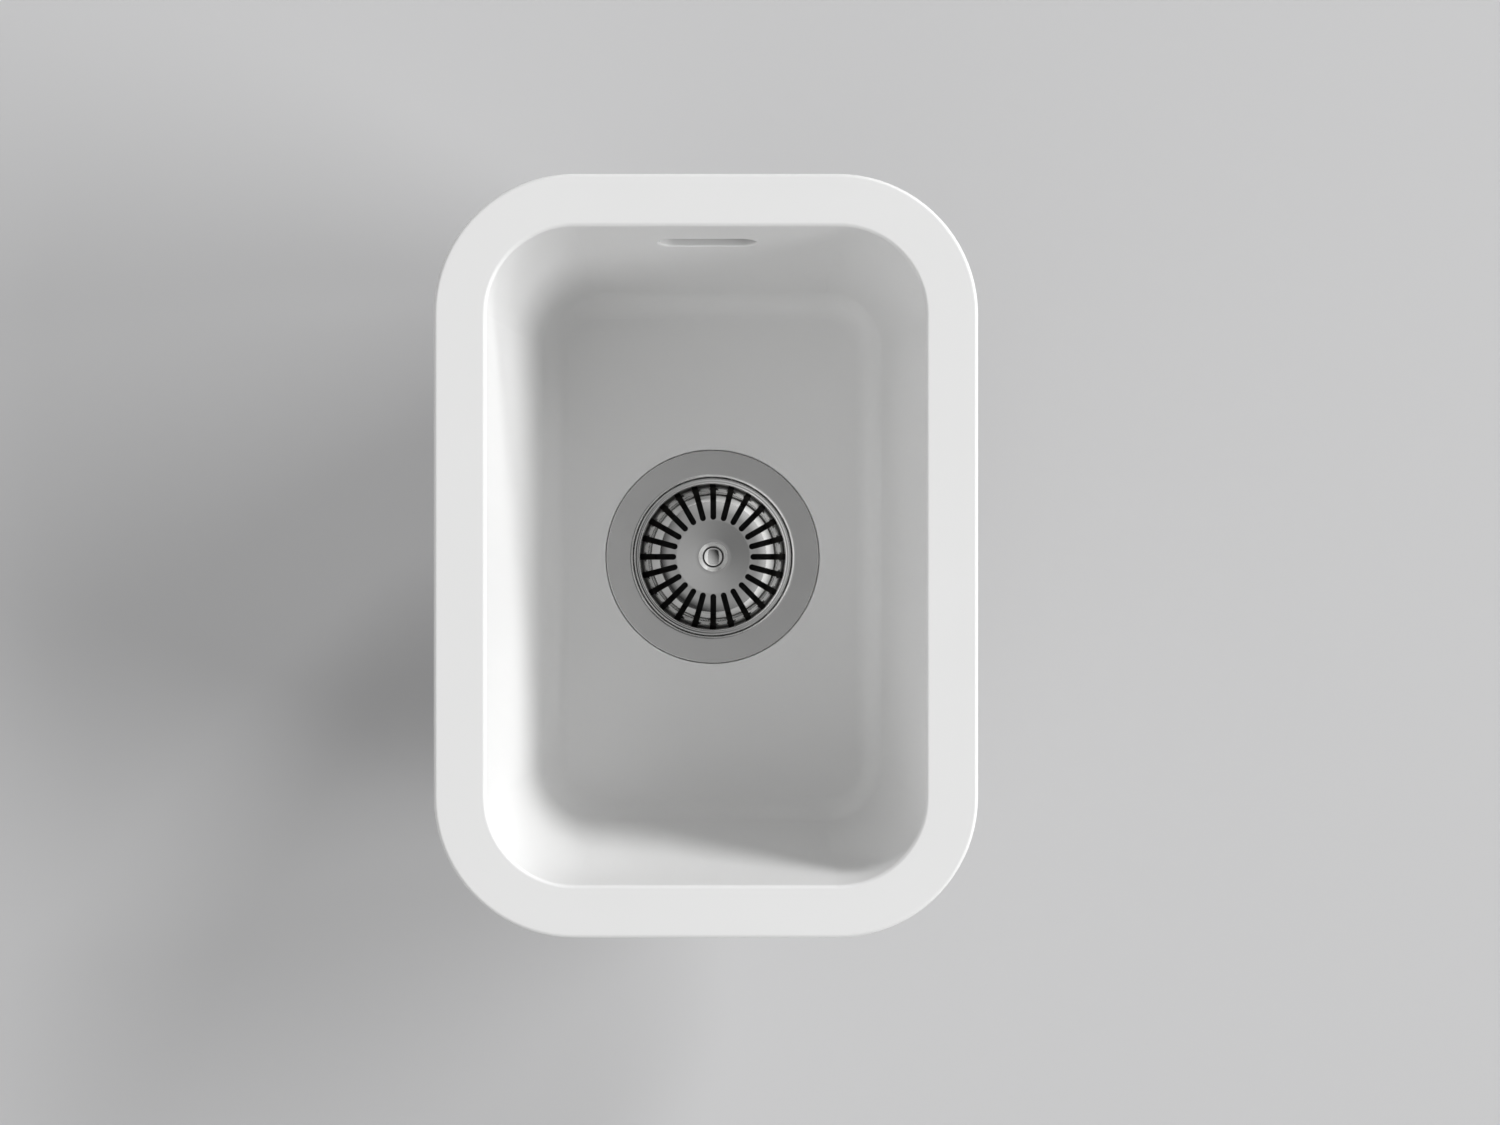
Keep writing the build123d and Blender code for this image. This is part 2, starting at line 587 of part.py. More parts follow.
def waste_body():
    """Flange, barrel, cone and outlet, with the overflow's inlet and a webbed hub for the screw."""
    flange_z = WASTE_TOP_Z - WASTE_FLANGE_THICKNESS
    fall = BARREL_R - OUTLET_BORE_R
    drop = WASTE_WALL * (fall**2 + CONE_LENGTH**2) ** 0.5 / fall
    body = turned(
        (0, WASTE_TOP_Z, 0),
        (WASTE_FLANGE_R, WASTE_TOP_Z, WASTE_FLANGE_TOP_ROUND),
        (WASTE_FLANGE_R, flange_z, WASTE_FLANGE_END_ROUND),
        (BARREL_OUTER_R, flange_z, WASTE_FLANGE_ROOT_ROUND),
        (BARREL_OUTER_R, cone_z(BARREL_OUTER_R, drop), CONE_OUTER_ROUND),
        (OUTLET_R, cone_z(OUTLET_R, drop), OUTLET_ROOT_ROUND),
        (OUTLET_R, OUTLET_END_Z, OUTLET_END_ROUND),
        (0, OUTLET_END_Z, 0),
    )
    inlet_start_y = BARREL_R / 2
    inlet_plane = facing_back(inlet_start_y, INLET_Z)
    body += extrude(inlet_plane * Circle(SPIGOT_R), amount=INLET_END_Y - inlet_start_y)
    body -= turned(
        (0, WASTE_TOP_Z, 0),
        (BARREL_R, WASTE_TOP_Z, 0),
        (BARREL_R, HUB_END_Z, CONE_INNER_ROUND),
        (OUTLET_BORE_R, CONE_END_Z, CONE_INNER_ROUND),
        (OUTLET_BORE_R, OUTLET_END_Z, 0),
        (0, OUTLET_END_Z, 0),
    )
    body -= extrude(inlet_plane * Circle(SPIGOT_BORE_R), amount=INLET_END_Y - inlet_start_y)
    web_length = BARREL_R + WASTE_WALL / 2
    web = Pos(web_length / 2, 0, HUB_END_Z + WEB_HEIGHT / 2) * Box(web_length, WEB_THICKNESS, WEB_HEIGHT)
    body += around(WEBS, web, 180.0 / WEBS)
    body += Pos(0, 0, (HUB_TOP_Z + HUB_END_Z) / 2) * Cylinder(HUB_INSERT_R + HUB_WALL, HUB_LENGTH)
    return body - Pos(0, 0, HUB_TOP_Z) * Cylinder(HUB_INSERT_R + PUSH_FIT, 2 * (HUB_LENGTH + OVERCUT))


def hub_insert():
    """The threaded insert: its flange bears up against the hub's lower end."""
    bore_r = CLAMP_SCREW_R + PUSH_FIT
    flange_r = HUB_INSERT_R + HUB_INSERT_FLANGE_WIDTH
    return turned(
        (bore_r, HUB_TOP_Z, 0),
        (HUB_INSERT_R, HUB_TOP_Z, HUB_INSERT_ROUND),
        (HUB_INSERT_R, HUB_END_Z, 0),
        (flange_r, HUB_END_Z, 0),
        (flange_r, HUB_INSERT_END_Z, HUB_INSERT_ROUND),
        (bore_r, HUB_INSERT_END_Z, 0),
    )


# ---- strainer ----


def basket_line(depth):
    """Corners of the pressing at a depth into its sheet, from the lip's bead in to the stem's hole."""
    wall_tan = tan(radians(BASKET_WALL_DRAFT))
    wall_r = BASKET_WALL_R + depth / cos(radians(BASKET_WALL_DRAFT))
    bead_r = LIP_R - LIP_BEAD_WIDTH
    bead_z = LIP_TOP_Z + LIP_BEAD_RISE - depth
    return [
        (LIP_R, bead_z, LIP_BEAD_ROUND),
        (bead_r, bead_z, LIP_BEAD_ROUND),
        (bead_r - LIP_BEAD_SLOPE, LIP_TOP_Z - depth, LIP_BEAD_ROUND),
        (wall_r - depth * wall_tan, LIP_TOP_Z - depth, LIP_ROUND - depth),
        (wall_r - (BASKET_DEPTH + depth) * wall_tan, DISC_Z - depth, BASKET_FLOOR_ROUND + depth),
        (DOME_FOOT_R, DISC_Z - depth, DOME_FOOT_ROUND + depth),
        (DOME_TOP_R, DOME_Z - depth, DOME_TOP_ROUND - depth),
        (STEM_R + RUNNING_FIT, DOME_Z - depth, 0),
    ]


def basket():
    """Lip, slit wall, floor and low dome, with the slits running from the floor up the wall."""
    pressing = turned(*basket_line(0), *reversed(basket_line(BASKET_SHEET)))
    slit_centre_r = SLIT_START_R + SLIT_WIDTH / 2
    slit_end_r = LIP_R
    low_z = DISC_Z - OVERCUT
    outline = Pos((slit_centre_r + slit_end_r) / 2, 0) * Rectangle(slit_end_r - slit_centre_r, SLIT_WIDTH)
    outline += Pos(slit_centre_r, 0) * Circle(SLIT_WIDTH / 2)
    slit = extrude(Pos(0, 0, low_z) * outline, amount=LIP_TOP_Z - SLIT_TOP_DROP - low_z)
    return pressing - around(SLITS, slit)


def hub_ring():
    """The low collar on the basket around the stem's head."""
    foot_r = HUB_RING_BORE_R + HUB_RING_FOOT_WIDTH
    return turned(
        (HUB_RING_BORE_R, DOME_Z, 0),
        (foot_r, DOME_Z, 0),
        (foot_r, DOME_Z + HUB_RING_EDGE, 0),
        (HUB_RING_BORE_R + HUB_RING_TOP_WIDTH, DOME_Z + HUB_RING_HEIGHT, HUB_RING_ROUND),
        (HUB_RING_BORE_R, DOME_Z + HUB_RING_HEIGHT, 0),
    )


def stem():
    """The pin under the domed head, down to its tip in the clamp screw's socket."""
    groove_r = STEM_R - CATCH_RING_WIDTH
    groove_z = STEM_END_Z + CATCH_RING_UP
    shank = turned(
        (0, STEM_HEAD_Z, 0),
        (STEM_R, STEM_HEAD_Z, 0),
        (STEM_R, groove_z + CATCH_RING_HEIGHT, 0),
        (groove_r, groove_z + CATCH_RING_HEIGHT, 0),
        (groove_r, groove_z, 0),
        (STEM_R, groove_z, 0),
        (STEM_R, STEM_END_Z, STEM_TIP_ROUND),
        (0, STEM_END_Z, 0),
    )
    top_z = STEM_HEAD_Z + STEM_HEAD_HEIGHT
    head = Pos(0, 0, (STEM_HEAD_Z + top_z) / 2) * Cylinder(STEM_HEAD_R, STEM_HEAD_HEIGHT)
    head &= Pos(0, 0, top_z - STEM_HEAD_DOME_R) * Sphere(STEM_HEAD_DOME_R)
    return shank + head


def catch_ring():
    """The sprung ring in the stem's groove, open on one side so that it can be fitted."""
    low_z = STEM_END_Z + CATCH_RING_UP + PUSH_FIT
    inner_r = STEM_R - CATCH_RING_WIDTH + PUSH_FIT
    height = CATCH_RING_HEIGHT - 2 * PUSH_FIT
    section = Plane.XZ * Pos((inner_r + STEM_R) / 2, low_z + height / 2) * Rectangle(STEM_R - inner_r, height)
    return revolve(section, Axis.Z, 360.0 - CATCH_RING_OPENING)


def plug_carrier():
    """The moulding on the stem: it bears under the basket and holds the plug's seal."""
    hollow_r = CLAMP_HEAD_R + CARRIER_HOLLOW_PLAY
    bore_r = STEM_R + PUSH_FIT
    flange_top_z = CARRIER_FLANGE_Z + CARRIER_FLANGE_THICKNESS
    return turned(
        (bore_r, CARRIER_TOP_Z, 0),
        (CARRIER_TOP_R, CARRIER_TOP_Z, 0),
        (CARRIER_R, CARRIER_TOP_Z - CARRIER_SHOULDER, CARRIER_ROUND),
        (CARRIER_R, flange_top_z, CARRIER_ROUND),
        (CARRIER_FLANGE_R, flange_top_z, CARRIER_EDGE_ROUND),
        (CARRIER_FLANGE_R, CARRIER_FLANGE_Z, 0),
        (CARRIER_R, CARRIER_FLANGE_Z, 0),
        (CARRIER_R, PLUG_NUT_Z, CARRIER_EDGE_ROUND),
        (hollow_r, PLUG_NUT_Z, 0),
        (hollow_r, CARRIER_HOLLOW_Z, CARRIER_ROUND),
        (bore_r, CARRIER_HOLLOW_Z, 0),
    )


def plug_seal():
    """The rubber disc with a lip that closes against the cup's floor round the drain holes."""
    inner_r = CARRIER_R + PUSH_FIT
    lip_z = CUP_FLOOR_Z + RUNNING_GAP
    return turned(
        (inner_r, CARRIER_FLANGE_Z, 0),
        (PLUG_SEAL_R, CARRIER_FLANGE_Z, PLUG_SEAL_ROUND),
        (PLUG_SEAL_R, lip_z, PLUG_SEAL_LIP_ROUND),
        (PLUG_SEAL_R - PLUG_SEAL_LIP, lip_z, PLUG_SEAL_LIP_ROUND),
        (PLUG_SEAL_R - PLUG_SEAL_LIP, PLUG_SEAL_Z, PLUG_SEAL_LIP_ROUND),
        (inner_r, PLUG_SEAL_Z, 0),
    )


def plug_nut():
    """The ring nut that clamps the seal up against the carrier's flange."""
    return ring(CARRIER_R + PUSH_FIT, PLUG_NUT_R, PLUG_NUT_Z, PLUG_SEAL_Z)


os.makedirs("parts", exist_ok=True)

save("basin", basin())
save("overflow_gasket", overflow_gasket())
save("overflow_housing", overflow_housing())
save("housing_screws", *(housing_screw(x) for x in (-SCREW_X, SCREW_X)))
save("wall_inserts", *(wall_insert(x) for x in (-SCREW_X, SCREW_X)))
save("overflow_hose", overflow_hose())
for position, spigot_end in spigot_ends().items():
    save("hose_nut_" + position, hose_nut(spigot_end))
    save("hose_seal_" + position, hose_seal(spigot_end))

save("flange_cup", flange_cup())
save("flange_seal", flange_seal())
save("clamp_screw", clamp_screw())
save("clamp_washer", clamp_washer())
save("waste_gasket", waste_gasket())
save("waste_body", waste_body())
save("hub_insert", hub_insert())

save("basket", basket())
save("hub_ring", hub_ring())
save("stem", stem())
save("catch_ring", catch_ring())
save("plug_carrier", plug_carrier())
save("plug_seal", plug_seal())
save("plug_nut", plug_nut())
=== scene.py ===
from collections import namedtuple
from math import cos, pi, radians, sin, tan

import bmesh
import bpy
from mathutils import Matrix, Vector


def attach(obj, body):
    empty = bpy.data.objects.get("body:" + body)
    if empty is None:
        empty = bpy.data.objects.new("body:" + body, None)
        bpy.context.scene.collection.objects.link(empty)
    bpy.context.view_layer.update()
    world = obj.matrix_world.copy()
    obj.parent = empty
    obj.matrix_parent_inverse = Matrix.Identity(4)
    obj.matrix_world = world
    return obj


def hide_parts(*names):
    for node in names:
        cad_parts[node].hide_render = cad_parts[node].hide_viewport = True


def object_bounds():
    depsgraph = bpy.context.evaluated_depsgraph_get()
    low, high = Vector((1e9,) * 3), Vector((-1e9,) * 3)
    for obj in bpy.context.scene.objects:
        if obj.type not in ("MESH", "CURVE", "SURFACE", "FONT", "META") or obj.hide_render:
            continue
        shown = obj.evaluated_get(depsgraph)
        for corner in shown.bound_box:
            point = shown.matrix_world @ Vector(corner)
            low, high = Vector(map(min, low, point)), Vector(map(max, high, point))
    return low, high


# Looks of a small undermount sink bowl, its basket strainer waste and its overflow.
# Lengths are in metres. The frame's origin is the centre of the bowl's opening, with +Z up
# and +Y to the back.

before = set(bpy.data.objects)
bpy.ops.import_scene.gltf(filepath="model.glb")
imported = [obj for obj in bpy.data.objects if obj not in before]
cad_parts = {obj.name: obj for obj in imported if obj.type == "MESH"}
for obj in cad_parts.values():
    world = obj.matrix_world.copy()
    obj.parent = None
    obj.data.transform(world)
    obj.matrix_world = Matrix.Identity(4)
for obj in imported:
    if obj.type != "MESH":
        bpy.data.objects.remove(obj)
CAD_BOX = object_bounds()

MM = 0.001

# The photograph's camera looks straight down, with the object's back at the top of the picture
PHOTO_WIDTH_PX = 1500
PHOTO_FOCAL_PX = 1836
SENSOR_WIDTH_MM = 36.0
CAMERA_PLACE = (20.1 * MM, -3.1 * MM, 835 * MM)

# A row of three windows from the right to the back, in a wide glow. Angles are in degrees:
# azimuth from +X towards +Y, elevation above the rim, and width as seen from the object.
LAMP_DISTANCE = 20.0
LAMPS = {
    "front_window": {"azimuth": -9, "elevation": 28.5, "width": 26, "level": 0.54},
    "middle_window": {"azimuth": 23, "elevation": 31, "width": 24, "level": 0.31},
    "back_window": {"azimuth": 57, "elevation": 20.5, "width": 13, "level": 0.41},
    "glow": {"azimuth": 22, "elevation": 26, "width": 50, "level": 0.16},
}

# The sky's level overhead, its slope to the left and the front outside the small patch
# overhead that the flat flange mirrors, and what it gains towards the horizon
SKY_TOP = 0.43
SKY_SLOPE = (-0.70, -0.42, 0.0)
SKY_PATCH = 0.17
SKY_LOW = 0.16
BACKDROP_LEVEL = 0.62

FLOOR_SIZE = 14.0
FLOOR_GAP = 0.4 * MM
FLOOR_COLOR = (0.60, 0.60, 0.605, 1.0)
FLOOR_ROUGHNESS = 0.8

# The ends between which most of a noise's values lie
NOISE_SPAN = (0.3, 0.7)

# An edge is worn where its normal, rounded off, turns this far from the plain one (cosines)
EDGE_TURN = (0.995, 0.90)
EDGE_SAMPLES = 4

# White composite, in colours at the low and the high end of its noise
SATIN_COLORS = ((0.815, 0.815, 0.812, 1.0), (0.840, 0.840, 0.838, 1.0))
SATIN_GRAIN_SHARE = 0.5
SATIN_SPAN = (0.4, 1.1)
SATIN_ROUGHNESS = (0.36, 0.46)
SATIN_GRAIN_HEIGHT = 0.02
RAW_COLORS = ((0.555, 0.551, 0.540, 1.0), (0.655, 0.651, 0.640, 1.0))
RAW_ROUGHNESS = (0.62, 0.80)

# How far up a face looks where it begins to count as upright, and as an underside
UPRIGHT_FACING = (0.03, 0.01)
UNDERSIDE_FACING = (-0.02, -0.05)

# The centre that the bowl's and the rim's corners share, and how far out from it the rim's
# edge begins
CORNER_CENTRE = (60 * MM, 110 * MM, 1.0)
RIM_EDGE_FROM = 55 * MM
RIM_EDGE_FADE = 1.0 * MM

# Stainless steel with the fine rings that a lathe leaves
STEEL_COLORS = ((0.645, 0.645, 0.639, 1.0), (0.695, 0.695, 0.688, 1.0))
RINGS_PER_METRE = 5200
RING_SHARE = 0.6
SATIN_STEEL_ROUGHNESS = (0.16, 0.26)
BRIGHT_STEEL_ROUGHNESS = (0.06, 0.11)

# Painted shade: a dark, duller colour painted down in the waste's cup, high on the basket's
# wall under its lip and in the gap around the stem's head, where shade falls
SHADE_TOP = -152.3 * MM
SHADE_END = -156.0 * MM
WALL_SHADE_R = 36.8 * MM
WALL_SHADE_FULL_R = 38.2 * MM
LIP_FADE = 1.0 * MM
HEAD_GAP_R = (4.95 * MM, 5.65 * MM)
HEAD_GAP_FADE = 0.1 * MM
PAINTED_SHADE_COLOR = (0.055, 0.053, 0.050, 1.0)
PAINTED_SHADE_ROUGHNESS = 0.5

# Moulded plastic, a little brighter where hands and tools rub its edges
BLACK_PLASTIC = {
    "dark": 0.030,
    "light": 0.042,
    "grain_scale": 2600,
    "roughness_ends": (0.38, 0.55),
}
GREY_HOSE = {
    "dark": 0.34,
    "light": 0.42,
    "grain_scale": 1800,
    "roughness_ends": (0.36, 0.50),
}
PLASTIC_GRAIN_SHARE = 0.5
PLASTIC_SPAN = (0.45, 1.05)
HANDLED_RADIUS = 0.6 * MM
HANDLED_SHARE = 0.35
HANDLED_GAIN = 2.2

# Rubber and brass
RUBBER_TONES = (0.018, 0.045)
BLOOM_SPAN = (0.45, 0.75)
RUBBER_ROUGHNESS = (0.62, 0.85)
BRASS_COLORS = ((0.78, 0.58, 0.29, 1.0), (0.52, 0.36, 0.17, 1.0))
BRASS_ROUGHNESS = (0.22, 0.45)

# The pipe thread on the outlet, cut into its plain outer wall
THREAD_PITCH = 2.309 * MM
THREAD_TOP_Z = -220.6 * MM
THREAD_TURNS = 8
THREAD_STEPS = 72
THREAD_ROOT_R = 22.6 * MM
THREAD_CUT_R = 24.2 * MM
THREAD_HALF_WIDTH = 1.02 * MM
THREAD_RUN_OUT = 0.5
THREAD_EDGE = 0.01 * MM
GROOVE_CORNERS = 3
SHARP_ANGLE = 32
WELD = 1e-6

Spot = namedtuple("Spot", "radius height")


# ---- node tools ----


def node(tree, kind, inputs=None, **settings):
    """A shader node with its settings, each input set to a value or linked to a socket."""
    made = tree.nodes.new("ShaderNode" + kind)
    for name, value in settings.items():
        setattr(made, name, value)
    for name, value in (inputs or {}).items():
        if isinstance(value, bpy.types.NodeSocket):
            tree.links.new(value, made.inputs[name])
        else:
            made.inputs[name].default_value = value
    return made


def noise(tree, place, scale, detail):
    """Noise between 0 and 1 with about scale features in a metre."""
    inputs = {"Vector": place, "Scale": scale, "Detail": detail}
    return node(tree, "TexNoise", inputs).outputs["Fac"]


def remap(tree, value, span, result):
    """Carries a value from one pair of ends to another, and holds it there."""
    inputs = {"Value": value, "From Min": span[0], "From Max": span[1]}
    inputs |= {"To Min": result[0], "To Max": result[1]}
    return node(tree, "MapRange", inputs).outputs["Result"]


def mask(tree, value, zero_at, one_at):
    """0 where a value is at zero_at or before it, and 1 where it is at one_at or past it."""
    return remap(tree, value, (zero_at, one_at), (0.0, 1.0))


def add(tree, first, second):
    return node(tree, "Math", {0: first, 1: second}, operation="ADD").outputs[0]


def times(tree, first, second):
    return node(tree, "Math", {0: first, 1: second}, operation="MULTIPLY").outputs[0]


def maximum(tree, first, second):
    return node(tree, "Math", {0: first, 1: second}, operation="MAXIMUM").outputs[0]


def vector_math(tree, operation, *inputs):
    """A vector, or a number where the operation gives one."""
    made = node(tree, "VectorMath", dict(enumerate(inputs)), operation=operation)
    return made.outputs["Value" if operation in ("DOT_PRODUCT", "LENGTH") else "Vector"]


def between(tree, share, low, high):
    """A mix of two numbers."""
    return node(tree, "Mix", {"Factor": share, "A": low, "B": high}).outputs["Result"]


def blend(tree, share, first, second):
    """A mix of two colours. Mix keeps the sockets for colours behind those for numbers."""
    made = node(tree, "Mix", {0: share, 6: first, 7: second}, data_type="RGBA")
    return made.outputs[2]


def grey(level):
    return (level, level, level, 1.0)


def from_axis(tree, place):
    """A place's distance from the waste's centre line, the vertical through the origin,
    and its height."""
    flat = vector_math(tree, "MULTIPLY", place, (1.0, 1.0, 0.0))
    radius = vector_math(tree, "LENGTH", flat)
    return Spot(radius, node(tree, "SeparateXYZ", {"Vector": place}).outputs["Z"])


def surface(name, **fixed):
    """A material with its tree, its shader and the place on the piece in metres."""
    material = bpy.data.materials.new(name)
    material.use_nodes = True
    tree = material.node_tree
    shader = tree.nodes["Principled BSDF"]
    for socket, value in fixed.items():
        shader.inputs[socket.replace("_", " ")].default_value = value
    place = node(tree, "TexCoord").outputs["Object"]
    return material, tree, shader, place


def finish_surface(tree, shader, color, roughness, height, strength, depth):
    """Links a colour, a roughness and a bump of some depth to the shader."""
    tree.links.new(color, shader.inputs["Base Color"])
    tree.links.new(roughness, shader.inputs["Roughness"])
    bump = node(tree, "Bump", {"Height": height, "Strength": strength, "Distance": depth})
    tree.links.new(bump.outputs["Normal"], shader.inputs["Normal"])


def worn_edges(tree, radius):
    """1 along the piece's sharp edges and 0 on its open faces."""
    rounded = node(tree, "Bevel", {"Radius": radius}, samples=EDGE_SAMPLES).outputs["Normal"]
    normal = node(tree, "NewGeometry").outputs["Normal"]
    return mask(tree, vector_math(tree, "DOT_PRODUCT", rounded, normal), *EDGE_TURN)


# ---- materials ----


def raw_share(tree, place):
    """1 where the composite is raw from the mould: on its undersides and outer walls, which
    look slightly down, and on the rim's upright outer edge."""
    normal = node(tree, "NewGeometry").outputs["Normal"]
    facing = node(tree, "SeparateXYZ", {"Vector": normal}).outputs["Z"]
    out = vector_math(tree, "ABSOLUTE", place)
    out = vector_math(tree, "SUBTRACT", out, CORNER_CENTRE)
    out = vector_math(tree, "MAXIMUM", out, (0.0, 0.0, 0.0))
    out = vector_math(tree, "LENGTH", out)
    past_edge = mask(tree, out, RIM_EDGE_FROM, RIM_EDGE_FROM + RIM_EDGE_FADE)
    rim_edge = times(tree, mask(tree, facing, *UPRIGHT_FACING), past_edge)
    return maximum(tree, mask(tree, facing, *UNDERSIDE_FACING), rim_edge)


def cast_composite():
    """White mineral composite: satin in the bowl and on the rim, raw outside."""
    material, tree, shader, place = surface("cast_composite", IOR=1.5)
    raw = raw_share(tree, place)
    cloud = noise(tree, place, scale=14, detail=4)
    grain = noise(tree, place, scale=2400, detail=2)
    mould = noise(tree, place, scale=150, detail=6)
    color = blend(tree, raw, blend(tree, cloud, *SATIN_COLORS), blend(tree, mould, *RAW_COLORS))
    spread = add(tree, cloud, times(tree, grain, SATIN_GRAIN_SHARE))
    satin = remap(tree, spread, SATIN_SPAN, SATIN_ROUGHNESS)
    roughness = between(tree, raw, satin, remap(tree, mould, NOISE_SPAN, RAW_ROUGHNESS))
    height = between(tree, raw, times(tree, grain, SATIN_GRAIN_HEIGHT), mould)
    finish_surface(tree, shader, color, roughness, height, strength=0.5, depth=0.5 * MM)
    return material


def cup_painted_shade(tree, spot):
    """1 from a little below the flange's top downwards, which paints shade into the waste's cup
    and onto all lower parts.
    """
    return mask(tree, spot.height, SHADE_TOP, SHADE_END)


def basket_painted_shade(tree, spot):
    """1 in the narrow gap around the stem's head and high on the basket's wall under its lip,
    where painted shade darkens these crevices."""
    inner, outer = HEAD_GAP_R
    past_head = mask(tree, spot.radius, inner - HEAD_GAP_FADE, inner)
    in_bore = mask(tree, spot.radius, outer + HEAD_GAP_FADE, outer)
    on_wall = mask(tree, spot.radius, WALL_SHADE_R, WALL_SHADE_FULL_R)
    under_lip = mask(tree, spot.height, SHADE_TOP, SHADE_TOP - LIP_FADE)
    return add(tree, times(tree, past_head, in_bore), times(tree, on_wall, under_lip))


def turned_steel(name, roughness_ends, shade_share):
    """Stainless steel finished on a lathe: fine rings about the waste's centre line, and painted
    shade, dark and dull, on a share of it."""
    material, tree, shader, place = surface(name, Metallic=1.0)
    spot = from_axis(tree, place)
    along = {"W": times(tree, spot.radius, RINGS_PER_METRE), "Scale": 1.0}
    rings = node(tree, "TexNoise", along, noise_dimensions="1D").outputs["Fac"]
    cloud = noise(tree, place, scale=60, detail=3)
    # Where the share is 1 the steel gets painted shade: a dark colour and a duller finish
    painted_shade = shade_share(tree, spot)
    color = blend(tree, painted_shade, blend(tree, cloud, *STEEL_COLORS), PAINTED_SHADE_COLOR)
    spread = add(tree, times(tree, rings, RING_SHARE), times(tree, cloud, 1 - RING_SHARE))
    clean = remap(tree, spread, NOISE_SPAN, roughness_ends)
    roughness = between(tree, painted_shade, clean, PAINTED_SHADE_ROUGHNESS)
    finish_surface(tree, shader, color, roughness, rings, strength=0.06, depth=0.05 * MM)
    return material


def moulded_plastic(name, dark, light, grain_scale, roughness_ends):
    """Injection moulded plastic with a fine grain, a little brighter where it is handled."""
    material, tree, shader, place = surface(name, IOR=1.49)
    grain = noise(tree, place, scale=grain_scale, detail=4)
    cloud = noise(tree, place, scale=35, detail=3)
    handled = times(tree, worn_edges(tree, HANDLED_RADIUS), HANDLED_SHARE)
    face = blend(tree, cloud, grey(dark), grey(light))
    color = blend(tree, handled, face, grey(light * HANDLED_GAIN))
    spread = add(tree, times(tree, grain, PLASTIC_GRAIN_SHARE), cloud)
    roughness = remap(tree, spread, PLASTIC_SPAN, roughness_ends)
    finish_surface(tree, shader, color, roughness, grain, strength=0.35, depth=0.12 * MM)
    return material


def seal_rubber():
    """Black rubber with a dull bloom."""
    material, tree, shader, place = surface("seal_rubber", IOR=1.45)
    bloom = noise(tree, place, scale=220, detail=5)
    dark, light = RUBBER_TONES
    color = blend(tree, mask(tree, bloom, *BLOOM_SPAN), grey(dark), grey(light))
    roughness = remap(tree, bloom, NOISE_SPAN, RUBBER_ROUGHNESS)
    grain = noise(tree, place, scale=3000, detail=2)
    finish_surface(tree, shader, color, roughness, grain, strength=0.3, depth=0.08 * MM)
    return material


def turned_brass():
    """Turned brass with a light tarnish."""
    material, tree, shader, place = surface("turned_brass", Metallic=1.0)
    tarnish = noise(tree, place, scale=260, detail=4)
    color = blend(tree, tarnish, *BRASS_COLORS)
    roughness = remap(tree, tarnish, NOISE_SPAN, BRASS_ROUGHNESS)
    grain = noise(tree, place, scale=2600, detail=2)
    finish_surface(tree, shader, color, roughness, grain, strength=0.2, depth=0.05 * MM)
    return material


def dress(material, *names):
    """Gives CAD nodes a material in place of their own."""
    for name in names:
        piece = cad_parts[name]
        piece.data.materials.clear()
        piece.data.materials.append(material)


# ---- outlet thread ----


def tidy_mesh(mesh):
    """Welds a mesh and turns all its faces outwards."""
    shape = bmesh.new()
    shape.from_mesh(mesh)
    bmesh.ops.remove_doubles(shape, verts=shape.verts, dist=WELD)
    bmesh.ops.recalc_face_normals(shape, faces=shape.faces)
    shape.to_mesh(mesh)
    shape.free()


def groove_cutter():
    """One long V groove that winds down the outlet and runs out at both ends. Each step
    along it has its corners at the groove's root and at its two edges outside the wall."""
    steps = THREAD_TURNS * THREAD_STEPS
    corners = []
    for step in range(steps + 1):
        turns = step / THREAD_STEPS
        angle = 2 * pi * turns
        bite = min(1.0, turns / THREAD_RUN_OUT, (THREAD_TURNS - turns) / THREAD_RUN_OUT)
        root_r = THREAD_CUT_R + (THREAD_ROOT_R - THREAD_CUT_R) * bite
        half = THREAD_HALF_WIDTH * bite + THREAD_EDGE
        for radius, rise in ((root_r, 0.0), (THREAD_CUT_R, half), (THREAD_CUT_R, -half)):
            z = THREAD_TOP_Z - THREAD_PITCH * turns + rise
            corners.append((radius * cos(angle), radius * sin(angle), z))
    last = GROOVE_CORNERS * steps
    faces = [(0, 1, 2), (last, last + 1, last + 2)]
    for start in range(0, last, GROOVE_CORNERS):
        below = start + GROOVE_CORNERS
        for side in range(GROOVE_CORNERS):
            after = (side + 1) % GROOVE_CORNERS
            faces.append((start + side, start + after, below + after, below + side))
    mesh = bpy.data.meshes.new("groove_cutter")
    mesh.from_pydata(corners, [], faces)
    tidy_mesh(mesh)
    return bpy.data.objects.new("groove_cutter", mesh)


def threaded_waste_body(material):
    """The waste body with its outlet's thread cut, in place of the plain CAD node."""
    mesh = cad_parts["waste_body"].data.copy()
    tidy_mesh(mesh)
    piece = bpy.data.objects.new("threaded_waste_body", mesh)
    cutter = groove_cutter()
    for thing in (piece, cutter):
        bpy.context.scene.collection.objects.link(thing)
    cut = piece.modifiers.new("thread", "BOOLEAN")
    cut.operation = "DIFFERENCE"
    cut.object = cutter
    cut.solver = "EXACT"
    evaluated = piece.evaluated_get(bpy.context.evaluated_depsgraph_get())
    piece.modifiers.clear()
    piece.data = bpy.data.meshes.new_from_object(evaluated)
    bpy.data.objects.remove(cutter)
    piece.data.materials.clear()
    piece.data.materials.append(material)
    piece.data.polygons.foreach_set("use_smooth", [True] * len(piece.data.polygons))
    piece.data.set_sharp_from_angle(angle=radians(SHARP_ANGLE))
    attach(piece, "sink")
    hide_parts("waste_body")


# ---- stage ----


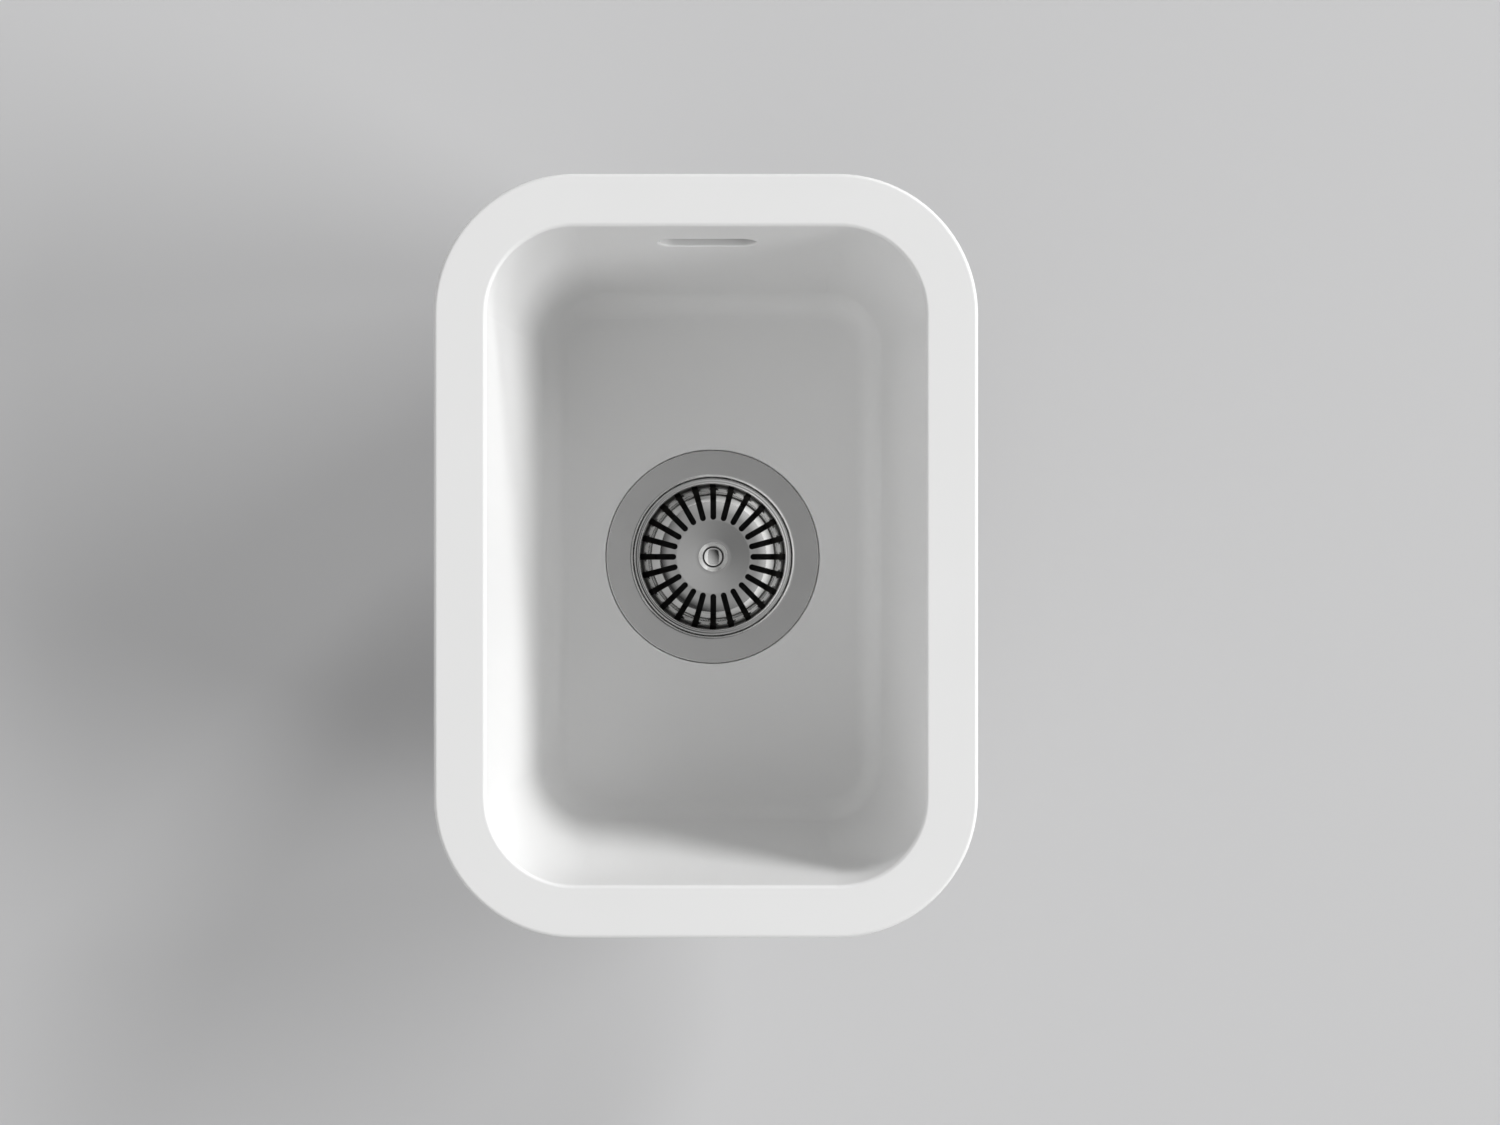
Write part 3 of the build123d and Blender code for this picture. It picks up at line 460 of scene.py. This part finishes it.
def floor():
    """A plain pale floor just below the waste's outlet."""
    mesh = bpy.data.meshes.new("floor")
    half = FLOOR_SIZE / 2
    z = CAD_BOX[0].z - FLOOR_GAP
    corners = [(-half, -half, z), (half, -half, z), (half, half, z), (-half, half, z)]
    mesh.from_pydata(corners, [], [(0, 1, 2, 3)])
    piece = bpy.data.objects.new("floor", mesh)
    bpy.context.scene.collection.objects.link(piece)
    paint = {"Base_Color": FLOOR_COLOR, "Roughness": FLOOR_ROUGHNESS, "Specular_IOR_Level": 0.0}
    mesh.materials.append(surface("floor_paint", **paint)[0])


def soft_lamp(name, azimuth, elevation, width, level):
    """A round lamp, width degrees across from the object, that lights a white face square
    to it to a level."""
    flat = cos(radians(elevation))
    way = (flat * cos(radians(azimuth)), flat * sin(radians(azimuth)), sin(radians(elevation)))
    way = Vector(way)
    data = bpy.data.lights.new(name, "AREA")
    data.shape = "DISK"
    data.size = 2 * LAMP_DISTANCE * tan(radians(width / 2))
    data.energy = level * (pi * LAMP_DISTANCE) ** 2
    lamp = bpy.data.objects.new(name, data)
    lamp.location = way * LAMP_DISTANCE
    lamp.rotation_mode = "QUATERNION"
    lamp.rotation_quaternion = way.to_track_quat("Z", "Y")
    lamp.visible_camera = False
    bpy.context.scene.collection.objects.link(lamp)


def sky():
    """A soft sky that is brighter to the left and the front, with a pale backdrop for the
    camera."""
    world = bpy.data.worlds.new("sky")
    bpy.context.scene.world = world
    world.use_nodes = True
    tree = world.node_tree
    tree.nodes.clear()
    way = node(tree, "TexCoord").outputs["Generated"]
    lean, height = from_axis(tree, way)
    slope = vector_math(tree, "DOT_PRODUCT", way, SKY_SLOPE)
    slope = times(tree, slope, mask(tree, lean, 0.0, SKY_PATCH))
    overhead = times(tree, maximum(tree, height, 0.0), SKY_TOP)
    high = maximum(tree, add(tree, slope, overhead), 0.0)
    level = add(tree, high, times(tree, times(tree, lean, lean), SKY_LOW))
    light = node(tree, "Background", {"Strength": level}).outputs[0]
    backdrop = node(tree, "Background", {"Strength": BACKDROP_LEVEL}).outputs[0]
    seen = node(tree, "LightPath").outputs["Is Camera Ray"]
    both = node(tree, "MixShader", {0: seen, 1: light, 2: backdrop}).outputs[0]
    node(tree, "OutputWorld", {"Surface": both})


def camera():
    data = bpy.data.cameras.new("camera")
    data.sensor_width = SENSOR_WIDTH_MM
    data.lens = SENSOR_WIDTH_MM * PHOTO_FOCAL_PX / PHOTO_WIDTH_PX
    piece = bpy.data.objects.new("camera", data)
    piece.location = CAMERA_PLACE
    bpy.context.scene.collection.objects.link(piece)
    bpy.context.scene.camera = piece


camera()
for lamp_name, lamp_facts in LAMPS.items():
    soft_lamp(lamp_name, **lamp_facts)
sky()
floor()
bpy.context.scene.view_settings.view_transform = "Standard"

black_plastic = moulded_plastic("black_plastic", **BLACK_PLASTIC)
grey_hose = moulded_plastic("grey_hose", **GREY_HOSE)
# Both steels carry painted shade: the satin one down in the cup, the bright one in the basket's
# crevices
satin_steel = turned_steel("satin_steel", SATIN_STEEL_ROUGHNESS, cup_painted_shade)
bright_steel = turned_steel("bright_steel", BRIGHT_STEEL_ROUGHNESS, basket_painted_shade)

BLACK_PARTS = ("overflow_housing", "plug_carrier", "plug_nut", "hose_nut_upper", "hose_nut_lower")
SEALS = ("flange_seal", "waste_gasket", "overflow_gasket")
HOSE_AND_PLUG_SEALS = ("hose_seal_upper", "hose_seal_lower", "plug_seal")

dress(cast_composite(), "basin")
dress(satin_steel, "flange_cup", "clamp_screw", "clamp_washer", "catch_ring")
dress(bright_steel, "basket", "hub_ring", "stem", "housing_screws")
dress(black_plastic, *BLACK_PARTS)
threaded_waste_body(black_plastic)
dress(grey_hose, "overflow_hose")
dress(seal_rubber(), *SEALS, *HOSE_AND_PLUG_SEALS)
dress(turned_brass(), "hub_insert", "wall_inserts")
